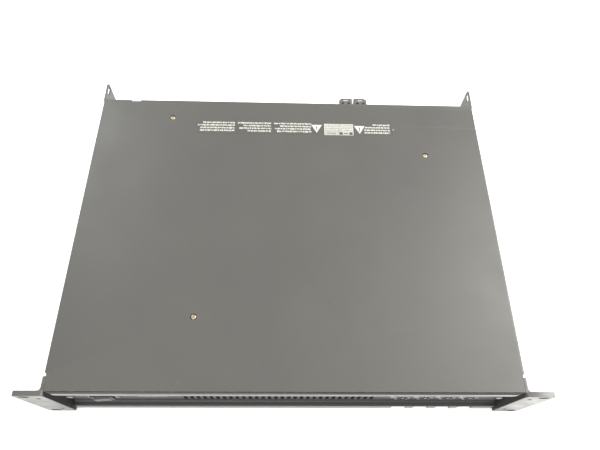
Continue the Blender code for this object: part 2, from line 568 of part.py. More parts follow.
def power_supply_parts():
    low = BOARD_TOP + GAP
    for number, y in enumerate((118.0, 160.0), 1):
        can = [(0, low), (16.8, low), (17.5, low + 1.0)]
        can += [(17.5, 60.5), (16.3, 61.6), (15.2, 60.9), (0, 60.9)]
        piece(f"bulk_capacitor_{number}", "capacitor_sleeve", turned("Z", (-188.0, y), can))
    core = block((-152.0, -92.0), (150.0, 158.0), (low, 52.0))
    far = block((-152.0, -92.0), (200.0, 208.0), (low, 52.0))
    leg = block((-130.0, -114.0), (157.0, 201.0), (22.0, 40.0))
    winding = prism("Y", rounded((-146.0, -98.0), (12.0, 50.0), 12.0, 4), (159.5, 198.5))
    piece("switching_transformer", "ferrite", core, add=[leg, far, winding])
    choke = turned("X", (266.0, 30.0), [(9.0, -188.0), (18.0, -188.0), (18.0, -168.0), (9.0, -168.0)])
    cradle = block((-190.0, -166.0), (250.0, 282.0), (low, 15.0))
    piece("mains_choke", "copper_winding", choke, add=[cradle])


def amp_board():
    plate = block((35.0, 211.0), (60.0, 297.0), (BOARD_LOW, BOARD_TOP))
    rows = [70.0 + 24.0 * i for i in range(8)]
    devices = [block((34.3, 39.3), (y, y + 16), (14.0, 35.0)) for y in rows]
    leads = [block((36.0, 38.0), (y + 3, y + 13), (9.0, 15.0)) for y in rows]
    relays = [block((182.0, 202.0), (y, y + 14), (9.0, 25.0)) for y in (100.0, 130.0, 160.0, 190.0)]
    caps = [rod("Z", (110.0 + 20.0 * i, 90.0), 6.5, (9.0, 34.0), SMALL) for i in range(4)]
    hole = rod("Z", COVER_SCREWS[1], 5.4, (0, 20), SMALL)
    piece("amplifier_board", "board_green", plate, add=[*leads, *devices, *relays, *caps], cut=[hole])
    low = BOARD_TOP + GAP
    for number in range(CHANNELS):
        coil = [(6.0, low + 1.5), (7.5, low), (11.5, low), (13.0, low + 1.5), (13.0, 21.0), (11.5, 22.5),
                (7.5, 22.5), (6.0, 21.0)]
        ring = turned("Z", (66.0 + 33.0 * number, 232.0), coil, 14)
        piece(f"output_inductor_{number + 1}", "copper_winding", ring)


def main():
    clear_scene()
    make_materials()
    for make in (chassis_tray, top_cover, cover_screws, front_panel, panel_screws, rack_ears, rear_ears,
                 power_switch, power_led, level_controls, lens_bar, control_board, rear_panel, mains_inlet,
                 breaker, xlr_inputs, outputs, fan, fan_guard, heatsinks, input_board, psu_board,
                 power_supply_parts, amp_board):
        make()


main()
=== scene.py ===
"""Looks for the four-channel rack power amplifier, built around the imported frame.

Pieces are drawn in millimetres: x to the right, y from the front face of the rack ears towards
the rear, z up from the underside. place() turns that into metres in the frame's own axes.
"""

import math
import random

import bmesh
import bpy
from mathutils import Euler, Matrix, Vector


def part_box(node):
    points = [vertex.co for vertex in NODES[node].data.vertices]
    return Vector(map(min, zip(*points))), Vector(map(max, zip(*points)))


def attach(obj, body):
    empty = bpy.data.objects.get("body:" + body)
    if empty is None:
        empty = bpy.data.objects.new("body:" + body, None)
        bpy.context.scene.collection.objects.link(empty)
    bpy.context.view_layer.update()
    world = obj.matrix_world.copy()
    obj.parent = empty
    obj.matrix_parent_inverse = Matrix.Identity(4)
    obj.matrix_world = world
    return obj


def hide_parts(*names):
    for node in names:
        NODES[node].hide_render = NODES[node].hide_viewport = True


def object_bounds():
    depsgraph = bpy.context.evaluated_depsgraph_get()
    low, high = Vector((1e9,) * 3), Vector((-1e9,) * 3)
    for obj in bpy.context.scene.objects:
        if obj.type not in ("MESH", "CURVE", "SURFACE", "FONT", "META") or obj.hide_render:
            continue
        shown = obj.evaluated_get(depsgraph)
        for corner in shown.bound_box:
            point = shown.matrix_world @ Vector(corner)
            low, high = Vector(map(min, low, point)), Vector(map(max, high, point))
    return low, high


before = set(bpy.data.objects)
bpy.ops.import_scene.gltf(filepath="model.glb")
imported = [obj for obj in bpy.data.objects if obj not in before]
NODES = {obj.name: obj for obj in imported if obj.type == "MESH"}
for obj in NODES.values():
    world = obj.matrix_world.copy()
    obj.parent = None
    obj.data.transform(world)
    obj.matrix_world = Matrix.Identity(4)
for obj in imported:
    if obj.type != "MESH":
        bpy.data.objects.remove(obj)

CAD_LOW, CAD_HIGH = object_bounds()

CHANNELS = range(1, 5)
SIDES = (("left", -1), ("right", 1))
INK_THICK = 0.06            # printed marks stand this far off their surface
WIRE_SIDES = 10             # flats round a wire


def place(x, y, z):
    return Vector((x / 1000, y / 1000 + CAD_LOW.y, z / 1000))


def extent(node):
    """(lowest, highest) corner of a CAD node in drawing millimetres."""
    return [Vector((p.x, p.y - CAD_LOW.y, p.z)) * 1000 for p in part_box(node)]


def middle(node):
    low, high = extent(node)
    return (low + high) / 2


# Places read from the frame
KNOB_PROUD = 0.6            # how far the level knobs stand out of the face
TOP = extent("top_cover")[1].z
REAR_FACE = extent("rear_panel")[1].y
FACE_Y = extent("level_knob_1")[0].y + KNOB_PROUD


# Materials

class Finish:
    """A node material: a Principled shader with its own wear, grain and bump."""

    def __init__(self, name, colour, roughness, metallic=0.0, **fixed):
        self.material = bpy.data.materials.new(name)
        self.material.use_nodes = True
        self.tree = self.material.node_tree
        self.shader = self.tree.nodes["Principled BSDF"]
        self.shader.inputs["Metallic"].default_value = metallic
        for socket, value in fixed.items():
            self.shader.inputs[socket.replace("_", " ")].default_value = value
        self.base = colour
        self.roughness = roughness
        self.colour_out = None
        self.coords = self.node("ShaderNodeTexCoord").outputs["Object"]

    def node(self, kind, **settings):
        made = self.tree.nodes.new(kind)
        for name, value in settings.items():
            setattr(made, name, value)
        return made

    def link(self, start, end):
        self.tree.links.new(start, end)

    def stretched(self, scale):
        made = self.node("ShaderNodeMapping")
        made.inputs["Scale"].default_value = scale
        self.link(self.coords, made.inputs["Vector"])
        return made.outputs["Vector"]

    def noise(self, scale, detail=3.0, rough=0.55, vector=None):
        made = self.node("ShaderNodeTexNoise")
        made.inputs["Scale"].default_value = scale
        made.inputs["Detail"].default_value = detail
        made.inputs["Roughness"].default_value = rough
        self.link(vector or self.coords, made.inputs["Vector"])
        return made.outputs["Fac"]

    def ramp(self, value, low, high, start=0.0, end=1.0):
        made = self.node("ShaderNodeMapRange", clamp=True)
        for socket, number in (("From Min", low), ("From Max", high), ("To Min", start), ("To Max", end)):
            made.inputs[socket].default_value = number
        self.link(value, made.inputs["Value"])
        return made.outputs["Result"]

    def times(self, a, b):
        made = self.node("ShaderNodeMath", operation="MULTIPLY")
        self.link(a, made.inputs[0])
        self.link(b, made.inputs[1])
        return made.outputs["Value"]

    def colour_mix(self, factor, low, high):
        made = self.node("ShaderNodeMix", data_type="RGBA")
        self.link(factor, made.inputs["Factor"])
        for socket, value in ((made.inputs[6], low), (made.inputs[7], high)):
            if isinstance(value, tuple):
                socket.default_value = (*value, 1)
            else:
                self.link(value, socket)
        return made.outputs[2]

    def edges(self, width):
        """1 along convex and concave edges, 0 on flat faces."""
        bevel = self.node("ShaderNodeBevel", samples=4)
        bevel.inputs["Radius"].default_value = width / 1000
        geometry = self.node("ShaderNodeNewGeometry")
        dot = self.node("ShaderNodeVectorMath", operation="DOT_PRODUCT")
        self.link(bevel.outputs["Normal"], dot.inputs[0])
        self.link(geometry.outputs["Normal"], dot.inputs[1])
        return self.ramp(dot.outputs["Value"], 0.995, 0.90)

    def mottle(self, scale, amount, tint=(1.0, 1.0, 1.0)):
        """Broad, soft differences in the colour."""
        dark = tuple(c * (1 - amount) for c in self.base)
        light = tuple(min(1.0, c * (1 + amount) * t) for c, t in zip(self.base, tint))
        self.colour_out = self.colour_mix(self.ramp(self.noise(scale), 0.3, 0.7), dark, light)
        return self

    def speckle(self, scale, amount, colour, low, high):
        """Fine grains or dust of another colour."""
        factor = self.ramp(self.noise(scale, 2.0), low, high, 0.0, amount)
        self.colour_out = self.colour_mix(factor, self.colour_out or self.base, colour)
        return self

    def worn(self, colour, amount, width):
        """Broken patches of another colour along the edges."""
        patches = self.ramp(self.noise(160.0, 4.0), 0.42, 0.62, 0.0, amount)
        factor = self.times(self.edges(width), patches)
        self.colour_out = self.colour_mix(factor, self.colour_out or self.base, colour)
        return self

    def bump(self, *layers, rounding=0.0):
        """Each layer is (noise scale, strength, height in mm, stretch or None)."""
        normal = None
        if rounding:
            bevel = self.node("ShaderNodeBevel", samples=4)
            bevel.inputs["Radius"].default_value = rounding / 1000
            normal = bevel.outputs["Normal"]
        for scale, strength, height, stretch in layers:
            vector = self.stretched(stretch) if stretch else None
            made = self.node("ShaderNodeBump")
            made.inputs["Strength"].default_value = strength
            made.inputs["Distance"].default_value = height / 1000
            self.link(self.noise(scale, 3.0, 0.6, vector), made.inputs["Height"])
            if normal:
                self.link(normal, made.inputs["Normal"])
            normal = made.outputs["Normal"]
        if normal:
            self.link(normal, self.shader.inputs["Normal"])
        return self

    def done(self, spread=0.06, scale=60.0):
        """Links the varied roughness and the colour, and gives the material."""
        varied = self.ramp(self.noise(scale, 4.0), 0.3, 0.7, self.roughness - spread, self.roughness + spread)
        self.link(varied, self.shader.inputs["Roughness"])
        if self.colour_out:
            self.link(self.colour_out, self.shader.inputs["Base Color"])
        else:
            self.shader.inputs["Base Color"].default_value = (*self.base, 1)
        return self.material


def powder_coat():
    """Fine textured black powder coat, lightly dusty, rubbed paler along its edges."""
    finish = Finish("powder_coat", (0.066, 0.065, 0.060), 0.44, Specular_IOR_Level=0.5)
    finish.mottle(9.0, 0.05, (1.01, 1.0, 0.98))
    finish.speckle(1400.0, 0.16, (0.13, 0.128, 0.118), 0.50, 0.75)
    finish.speckle(330.0, 0.22, (0.34, 0.33, 0.30), 0.74, 0.80)
    finish.worn((0.36, 0.35, 0.32), 0.45, 0.5)
    finish.bump((900.0, 0.35, 0.035, None), (2600.0, 0.30, 0.016, None), rounding=0.35)
    return finish.done(0.05, 30.0)


def anodised():
    """Satin black finish of the thick front ears."""
    finish = Finish("black_anodised", (0.074, 0.071, 0.064), 0.33, Specular_IOR_Level=0.6)
    finish.mottle(25.0, 0.06)
    finish.speckle(700.0, 0.20, (0.14, 0.136, 0.125), 0.60, 0.78)
    finish.worn((0.50, 0.49, 0.46), 0.7, 0.45)
    finish.bump((620.0, 0.30, 0.03, None), (60.0, 0.15, 0.08, (1, 1, 4)), rounding=0.4)
    return finish.done(0.07, 45.0)


def bezel_finish():
    """Satin coat of the front extrusion: smooth on its lip and lower band, duller in the recess."""
    finish = Finish("bezel_finish", (0.032, 0.032, 0.030), 0.21, Specular_IOR_Level=0.6)
    finish.mottle(20.0, 0.05)
    finish.speckle(900.0, 0.12, (0.08, 0.078, 0.072), 0.60, 0.78)
    finish.worn((0.20, 0.195, 0.18), 0.5, 0.4)
    finish.bump((500.0, 0.12, 0.01, (0.08, 1, 1)), rounding=0.2)
    material = finish.done(0.04, 40.0)
    split = finish.node("ShaderNodeSeparateXYZ")
    finish.link(finish.coords, split.inputs["Vector"])
    rim, recess = place(0, 3.6, 0).y, place(0, 5.2, 0).y
    rougher = 0.24
    depth = finish.ramp(split.outputs["Y"], rim, recess, 0.0, rougher)
    total = finish.node("ShaderNodeMath", operation="ADD")
    finish.link(finish.shader.inputs["Roughness"].links[0].from_socket, total.inputs[0])
    finish.link(depth, total.inputs[1])
    finish.link(total.outputs["Value"], finish.shader.inputs["Roughness"])
    return material


def plastic(name, colour, roughness, grain=1100.0):
    """Moulded plastic with a fine grain and a little dust."""
    finish = Finish(name, colour, roughness, Specular_IOR_Level=0.5)
    finish.mottle(70.0, 0.08)
    finish.speckle(800.0, 0.12, tuple(min(1.0, c * 1.9 + 0.03) for c in colour), 0.62, 0.74)
    finish.bump((grain, 0.35, 0.03, None), rounding=0.2)
    return finish.done(0.07, 120.0)


def metal(name, colour, roughness, brushed=None):
    """Plated metal, a little tarnished. brushed stretches its grain."""
    finish = Finish(name, colour, roughness, 1.0)
    finish.mottle(90.0, 0.10, (1.0, 0.98, 0.94))
    finish.speckle(420.0, 0.30, tuple(c * 0.55 for c in colour), 0.64, 0.76)
    finish.bump((700.0, 0.25, 0.02, brushed), rounding=0.15)
    return finish.done(0.08, 200.0)


def board():
    """Green solder mask with paler tracks under it."""
    finish = Finish("board_green", (0.018, 0.120, 0.055), 0.36, Coat_Weight=0.3)
    tracks = finish.ramp(finish.noise(260.0, 1.0, 0.4, finish.stretched((1, 0.25, 1))), 0.54, 0.56)
    finish.colour_out = finish.colour_mix(tracks, (0.018, 0.110, 0.050), (0.035, 0.185, 0.090))
    finish.speckle(900.0, 0.5, (0.55, 0.54, 0.50), 0.70, 0.74)
    finish.bump((260.0, 0.3, 0.03, (1, 0.25, 1)), rounding=0.15)
    return finish.done()


def copper():
    """Enamelled wire, wound side by side."""
    finish = Finish("copper_winding", (0.55, 0.20, 0.075), 0.32, 1.0)
    finish.mottle(120.0, 0.2, (1.0, 0.9, 0.85))
    finish.bump((1500.0, 0.5, 0.08, (1, 1, 0.12)))
    return finish.done()


def sleeve():
    """Shrink sleeve of the large capacitors."""
    finish = Finish("capacitor_sleeve", (0.022, 0.040, 0.110), 0.30, Coat_Weight=0.4)
    finish.mottle(60.0, 0.15)
    finish.speckle(500.0, 0.2, (0.12, 0.14, 0.2), 0.66, 0.74)
    finish.bump((240.0, 0.2, 0.05, (1, 1, 0.3)), rounding=0.3)
    return finish.done()


def ink(name, colour):
    """Screen print, a little uneven where the texture under it shows through."""
    finish = Finish(name, colour, 0.55)
    finish.mottle(200.0, 0.06)
    finish.speckle(1500.0, 0.55, tuple(c * 0.45 for c in colour), 0.56, 0.70)
    finish.bump((1400.0, 0.3, 0.02, None))
    return finish.done()


def lens():
    """Milky clear moulding of the level windows."""
    finish = Finish("clear_lens", (0.66, 0.67, 0.64), 0.22, Transmission_Weight=0.35, IOR=1.49)
    finish.mottle(150.0, 0.06)
    finish.bump((900.0, 0.2, 0.03, None), rounding=0.25)
    return finish.done()


def floor_finish():
    finish = Finish("pale_floor", (0.86, 0.86, 0.855), 0.6)
    finish.shader.inputs["Emission Color"].default_value = (1.0, 1.0, 0.995, 1)
    finish.shader.inputs["Emission Strength"].default_value = FLOOR_GLOW
    finish.mottle(1.6, 0.01)
    finish.bump((300.0, 0.05, 0.05, None))
    return finish.done(0.04, 8.0)


# Drawing

AXES = {
    "+Z": (Vector((1, 0, 0)), Vector((0, 1, 0)), Vector((0, 0, 1))),
    "-Y": (Vector((1, 0, 0)), Vector((0, 0, 1)), Vector((0, -1, 0))),
    "+Y": (Vector((-1, 0, 0)), Vector((0, 0, 1)), Vector((0, 1, 0))),
    "+X": (Vector((0, 1, 0)), Vector((0, 0, 1)), Vector((1, 0, 0))),
    "-X": (Vector((0, -1, 0)), Vector((0, 0, 1)), Vector((-1, 0, 0))),
}


def span(at, half):
    return at - half, at + half


def arc(centre, radius, start, end, steps):
    cx, cy = centre
    angles = [math.radians(start + (end - start) * i / steps) for i in range(steps + 1)]
    return [(cx + radius * math.cos(a), cy + radius * math.sin(a)) for a in angles]


def rounded(xs, ys, radius):
    """The outline of a rectangle with round corners."""
    (x0, x1), (y0, y1) = xs, ys
    steps = 5
    corners = ((x1, y1, 0, -1, -1), (x0, y1, 90, 1, -1), (x0, y0, 180, 1, 1), (x1, y0, 270, -1, 1))
    points = []
    for x, y, start, to_x, to_y in corners:
        points += arc((x + to_x * radius, y + to_y * radius), radius, start, start + 90, steps)
    return points


class Draft:
    """Closed shells drawn in millimetres, made into one piece."""

    def __init__(self):
        self.points, self.faces, self.paint = [], [], []

    def add(self, points, faces, paint=0):
        start = len(self.points)
        self.points += [Vector(p) for p in points]
        self.faces += [tuple(start + i for i in face) for face in faces]
        self.paint += [paint] * len(faces)
        return self

    def prism(self, outline, ends, axis="+Z", at=(0, 0, 0), paint=0):
        """The outline drawn out along an axis, in that axis's own directions from the point at."""
        u, v, w = AXES[axis]
        base, n = Vector(at), len(outline)
        points = [base + u * p[0] + v * p[1] + w * t for t in ends for p in outline]
        sides = [(i, (i + 1) % n, n + (i + 1) % n, n + i) for i in range(n)]
        return self.add(points, [tuple(range(n)), tuple(range(n, 2 * n)), *sides], paint)

    def block(self, xs, ys, zs, paint=0):
        (x0, x1), (y0, y1) = xs, ys
        return self.prism([(x0, y0), (x1, y0), (x1, y1), (x0, y1)], zs, paint=paint)

    def turned(self, profile, axis, at, sides, radius_of=None):
        """A profile of (radius, height) turned about the axis through at.

        A profile that starts and ends at radius 0 closes on the axis, and any other makes a ring.
        radius_of(radius, height, angle) may flute it.
        """
        u, v, w = AXES[axis]
        base = Vector(at)
        solid = profile[0][0] == 0 and profile[-1][0] == 0
        rows = profile[1:-1] if solid else profile
        points = []
        for radius, height in rows:
            for i in range(sides):
                angle = 2 * math.pi * i / sides
                r = radius_of(radius, height, angle) if radius_of else radius
                points.append(base + u * r * math.cos(angle) + v * r * math.sin(angle) + w * height)
        faces, n = [], len(rows)
        for row in range(n - 1 if solid else n):
            a, b = row * sides, (row + 1) % n * sides
            faces += [(a + i, a + (i + 1) % sides, b + (i + 1) % sides, b + i) for i in range(sides)]
        if solid:
            for cap, start in ((profile[0], 0), (profile[-1], (n - 1) * sides)):
                points.append(base + w * cap[1])
                tip = len(points) - 1
                faces += [(start + i, start + (i + 1) % sides, tip) for i in range(sides)]
        return self.add(points, faces)

    def tube(self, path, radius):
        """A round wire along the points of path, with flat ends."""
        sides, n, points, side = WIRE_SIDES, len(path), [], None
        for i, p in enumerate(path):
            before = path[i - 1] if i else p
            after = path[i + 1] if i < n - 1 else p
            along = (after - before).normalized()
            if side is None:
                side = along.orthogonal().normalized()
            side = (side - along * side.dot(along)).normalized()
            other = along.cross(side)
            for k in range(sides):
                angle = 2 * math.pi * k / sides
                points.append(p + (side * math.cos(angle) + other * math.sin(angle)) * radius)
        faces = []
        for row in range(n - 1):
            a, b = row * sides, (row + 1) * sides
            faces += [(a + k, a + (k + 1) % sides, b + (k + 1) % sides, b + k) for k in range(sides)]
        faces += [tuple(range(sides)), tuple(range((n - 1) * sides, n * sides))]
        return self.add(points, faces)

    def screw(self, at, axis, radius, height, turn=0.0):
        """A pan head with a cross recess, seated at the point at."""
        u, v, w = AXES[axis]
        base, sides, rings = Vector(at), 40, 10
        arm, width, depth = radius * 0.62, radius * 0.15, height * 0.75
        points = [base + w * (height - depth)]
        for ring in range(1, rings + 1):
            share = ring / rings
            r = radius * share
            dome = height * (1 - 0.45 * share ** 4)
            for k in range(sides):
                angle = 2 * math.pi * k / sides + turn
                a, b = r * math.cos(angle - turn), r * math.sin(angle - turn)
                near, far = sorted((abs(a), abs(b)))
                cut = max(0.0, min(1.0, (width * 1.5 - near) / (width * 0.7)))
                cut *= max(0.0, min(1.0, (arm - far) / (radius * 0.2)))
                h = dome - depth * cut
                points.append(base + u * r * math.cos(angle) + v * r * math.sin(angle) + w * h)
        faces = [(0, 1 + k, 1 + (k + 1) % sides) for k in range(sides)]
        for ring in range(rings - 1):
            a, b = 1 + ring * sides, 1 + (ring + 1) * sides
            faces += [(a + k, a + (k + 1) % sides, b + (k + 1) % sides, b + k) for k in range(sides)]
        last, foot = 1 + (rings - 1) * sides, len(points)
        for k in range(sides):
            angle = 2 * math.pi * k / sides + turn
            points.append(base + (u * math.cos(angle) + v * math.sin(angle)) * radius)
        faces += [(last + k, last + (k + 1) % sides, foot + (k + 1) % sides, foot + k) for k in range(sides)]
        faces.append(tuple(foot + k for k in range(sides)))
        return self.add(points, faces)

    def shank(self, at, axis, radius, start, end, sides=20):
        """The plain shaft of a screw, from start to end along its axis."""
        return self.turned([(0, start), (radius, start), (radius, end), (0, end)], axis, at, sides)

    def finish(self, name, materials, body="chassis", slot=None, replaces=(), bevel=0.0, segments=2):
        """Makes the piece. It rides a body, and may stand in for CAD nodes, which it hides. The slot argument
        is not used.
        """
        sharp = math.radians(30)
        mesh = bpy.data.meshes.new(name)
        mesh.from_pydata([place(*p) for p in self.points], [], self.faces)
        for material in materials if isinstance(materials, (list, tuple)) else [materials]:
            mesh.materials.append(material)
        mesh.polygons.foreach_set("material_index", self.paint)
        shape = bmesh.new()
        shape.from_mesh(mesh)
        bmesh.ops.recalc_face_normals(shape, faces=shape.faces)
        shape.to_mesh(mesh)
        shape.free()
        mesh.shade_smooth()
        mesh.set_sharp_from_angle(angle=sharp)
        obj = bpy.data.objects.new(name, mesh)
        bpy.context.scene.collection.objects.link(obj)
        if bevel:
            made = obj.modifiers.new("soft_edges", "BEVEL")
            made.width, made.segments = bevel / 1000, segments
            made.limit_method, made.angle_limit = "ANGLE", sharp
            made.harden_normals = True
        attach(obj, body)
        if replaces:
            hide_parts(*replaces)


def dress(material, *names):
    """Gives CAD nodes their finish, with smooth round faces and crisp edges."""
    for name in names:
        obj = NODES[name]
        obj.data.materials.clear()
        obj.data.materials.append(material)
        obj.data.shade_smooth()
        weld = obj.modifiers.new("weld", "WELD")
        weld.merge_threshold = 1e-5
        split = obj.modifiers.new("crisp", "EDGE_SPLIT")
        split.split_angle = math.radians(28)
        split.use_edge_sharp = False


# The lid

def cover_screws(brass):
    """Cross-head screws, sunk just below the top of the lid."""
    sunk = 1.5
    for number in range(1, 4):
        spot = middle(f"cover_screw_{number}")
        seat = (spot.x, spot.y, TOP - sunk)
        head = Draft().screw(seat, "+Z", 2.5, 1.4, turn=0.7 * number)
        head.shank(seat, "+Z", 1.4, -9.5, 0.1)
        head.finish(f"cover_screw_head_{number}", brass, slot="yellow_zinc",
                    replaces=[f"cover_screw_{number}"])


LABEL_X, LABEL_Y = (-106.7, 121.0), (287.2, 304.8)
LINE_PLACES = (302.0, 298.3, 294.6, 290.9)
LINE_HEIGHT = 2.5
# Each text block is (right end, left end of each of its four lines).
TEXT_BLOCKS = ((-62.6, (-99.3, -105.0, -101.9, -102.2)), (-21.0, (-59.5, -53.0, -57.6, -48.0)),
               (25.0, (-18.2, -11.3, -16.8, -14.5)), (115.6, (95.7, 86.9, 85.7, 85.7)))
# Each triangle is (middle, base); its tip points to the front.
TRIANGLES = ((30.8, 301.2), (80.2, 300.6))
TRIANGLE_HALF, TRIANGLE_DEEP = 6.3, 11.2
RATING_X, RATING_Y = (39.5, 73.0), (286.9, 302.9)


def plain_words(draft, xs, y, height, rng, z, stroke=0.62):
    """A line of print reduced to groups of short upright bars, which spell nothing."""
    x, end = xs
    between_bars, between_groups = 0.10, 0.62
    while x < end - stroke:
        for _ in range(rng.randint(2, 7)):
            if x > end - stroke:
                break
            tall = height * rng.choice((0.62, 0.75, 0.75, 1.0))
            low = y - height / 2 + (height - tall) * rng.choice((0.5, 1.0))
            draft.block((x, x + stroke), (low, low + tall), z)
            x += stroke + between_bars
        x += between_groups


def border(draft, xs, ys, line, z):
    """Four thin bars round the inside of a rectangle."""
    (x0, x1), (y0, y1) = xs, ys
    draft.block(xs, (y0, y0 + line), z)
    draft.block(xs, (y1 - line, y1), z)
    draft.block((x0, x0 + line), ys, z)
    draft.block((x1 - line, x1), ys, z)


def label(film, print_ink, pale_ink, grey_ink, black):
    """A long label strip with a plain pattern: bars, two triangles and a rating box, and no words."""
    z = (TOP + 0.01, TOP + 0.10)
    top = (z[1], z[1] + INK_THICK)
    over = (top[1], top[1] + INK_THICK)
    rng = random.Random(12)
    Draft().prism(rounded(LABEL_X, LABEL_Y, 1.2), z).finish("lid_label", film, slot="black_powder_coat")
    outline, inset = Draft(), 0.6
    border(outline, (LABEL_X[0] + inset, LABEL_X[1] - inset), (LABEL_Y[0] + inset, LABEL_Y[1] - inset),
           0.2, top)
    outline.finish("label_outline", grey_ink)
    label_print(print_ink, rng, top)
    Draft().block(RATING_X, RATING_Y, top).finish("label_rating_box", pale_ink)
    rating_lines(grey_ink, black, rng, over)


def label_print(print_ink, rng, z):
    """Four blocks of four lines, a dot and the two triangles."""
    marks = Draft()
    for right, lefts in TEXT_BLOCKS:
        for y, left in zip(LINE_PLACES, lefts):
            plain_words(marks, (left, right), y, LINE_HEIGHT, rng, z)
    marks.block(span(119.2, 0.6), span(296.0, 0.6), z)
    for x, base in TRIANGLES:
        corners = [(x - TRIANGLE_HALF, base), (x + TRIANGLE_HALF, base), (x, base - TRIANGLE_DEEP)]
        marks.prism(corners, z)
    marks.finish("label_print", print_ink)


def rating_lines(grey_ink, black, rng, z):
    """The triangles' bars, and the rating box's two columns of lines over a row of small boxes."""
    dark, pale = Draft(), Draft()
    for x, base in TRIANGLES:
        near, far = base - 2.4, base - 6.6
        dark.prism([(x - 0.6, near), (x + 0.6, near), (x + 0.35, far), (x - 0.35, far)], z)
        dark.block(span(x, 0.4), (base - 8.2, base - 7.4), z)
    left, right = RATING_X
    columns = ((left + 1.0, left + 15.8), (left + 17.4, right - 1.0))
    row_low, row_high = 287.8, 291.2
    pale.block((left + 16.4, left + 16.8), (RATING_Y[0] + 0.8, RATING_Y[1] - 0.8), z)
    pale.block((left + 0.8, right - 0.8), (row_high + 0.5, row_high + 0.8), z)
    for column in columns:
        for row in range(4):
            plain_words(pale, column, 293.9 + 2.4 * row, 1.0, rng, z, stroke=0.35)
    (a, b), (c, d) = columns
    border(pale, (a, b), (row_low, row_high), 0.3, z)
    pale.block((a + 2.0, b - 2.0), (row_low + 1.1, row_high - 1.1), z)
    for xs in ((c, c + 3.8), (d - 3.8, d)):
        dark.block(xs, (row_low - 0.1, row_high), z)
    pale.block((c + 5.0, d - 5.0), (row_low + 0.8, row_high - 0.8), z)
    pale.finish("label_fine_print", grey_ink)
    dark.finish("label_dark_print", black)


# The front

def face_point(x, z):
    return x, FACE_Y, z


def printed(draft, outline, at):
    """A mark on the front face, with its outline in x and z."""
    draft.prism(outline, (0, INK_THICK), "-Y", at)


def level_controls(rubber_and_shade, white):
    """Fluted knobs with a pointer, each in a ring of eleven scale ticks."""
    flutes, fluted_from = 18, 4.4
    for number in CHANNELS:
        spot = middle(f"level_knob_{number}")
        low, high = extent(f"level_knob_{number}")
        depth = high.y - low.y

        def fluted(radius, height, angle):
            grip = 1.0 if height < depth - 0.9 and radius > fluted_from else 0.0
            return radius - 0.22 * grip * (0.5 + 0.5 * math.cos(flutes * angle))

        dish = [(0, depth - 0.35), (3.7, depth - 0.35), (4.1, depth - 0.05)]
        rim = [(4.4, depth), (4.8, depth - 0.25), (4.95, depth - 0.8)]
        profile = [*dish, *rim, (4.98, depth - 3.0), (4.98, 0.2), (4.7, 0), (0, 0)]
        knob = Draft().turned(profile, "-Y", (spot.x, high.y, spot.z), 108, radius_of=fluted)
        knob.block(span(spot.x, 0.42), (low.y, low.y + 0.5), (spot.z + 0.6, spot.z + 4.3), paint=1)
        knob.finish(f"level_cap_{number}", [rubber_and_shade, white], f"level_{number}", "black_plastic",
                    [f"level_knob_{number}"])
    scale = Draft()
    for number in CHANNELS:
        spot = middle(f"level_knob_{number}")
        for step in range(11):
            length = 1.9 if step % 5 else 2.6
            tick = scale_tick(math.radians(-140 + 28 * step), 6.5, length, 0.36)
            printed(scale, tick, face_point(spot.x, spot.z))
    scale.finish("level_scales", white)


def scale_tick(angle, reach, length, half):
    """The outline of a tick that starts at reach from the knob's middle and points outwards."""
    s, c = math.sin(angle), math.cos(angle)
    end = reach + length
    corners = ((reach, -half), (reach, half), (end, half), (end, -half))
    return [(r * s + side * c, r * c - side * s) for r, side in corners]


def power_rocker(grey):
    """A rocker with an almost flat face, tilted to its off side."""
    low, high = extent("power_switch_rocker")
    centre = (low + high) / 2
    half_tall = (high.z - low.z) / 2
    half, edge, face, dip = 7.9, 7.2, 8.6, 0.1
    steps = 8
    left = [(-half, 8.2), (-edge, face)]
    for i in range(1, steps + 1):
        share = i / steps
        left.append((-edge + edge * share, face - dip * math.sin(math.pi * share / 2)))
    outline = left + [(-x, y) for x, y in reversed(left[:-1])] + [(half, 0.5), (-half, 0.5)]
    tilt, pivot_y = math.radians(4.0), 12.0
    s, c = math.sin(tilt), math.cos(tilt)
    points = []
    for z in span(centre.z, half_tall):
        for x, out in outline:
            y = high.y - 0.1 - out - pivot_y
            points.append((centre.x + x * c - y * s, pivot_y + x * s + y * c, z))
    n = len(outline)
    sides = [(i, (i + 1) % n, n + (i + 1) % n, n + i) for i in range(n)]
    rocker = Draft().add(points, [tuple(range(n)), tuple(range(n, 2 * n)), *sides])
    rocker.finish("power_rocker_cap", grey, "power_rocker", "grey_plastic", ["power_switch_rocker"],
                  bevel=0.45)


def front_print(white, pale_ink):
    """A bar and a ring as the rocker's marks, and plain bars in place of a name."""
    spot = middle("power_switch_rocker")
    aside = 13.6
    marks = Draft()
    for x in span(spot.x, aside):
        printed(marks, [(-0.3, -1.6), (0.3, -1.6), (0.3, 1.6), (-0.3, 1.6)], face_point(x, spot.z + 3))
    marks.turned([(1.25, 0), (1.6, 0), (1.6, INK_THICK), (1.25, INK_THICK)], "-Y",
                 face_point(spot.x + aside, spot.z - 2.5), 24)
    marks.finish("front_marks", white)
    bars = Draft()
    low, high = 32.2, 33.6
    for left, right in ((-145.0, -133.5), (-132.5, -124.5), (-123.5, -117.0)):
        printed(bars, [(left, low), (right, low), (right, high), (left, high)], face_point(0, 0))
    bars.finish("front_bars", pale_ink)


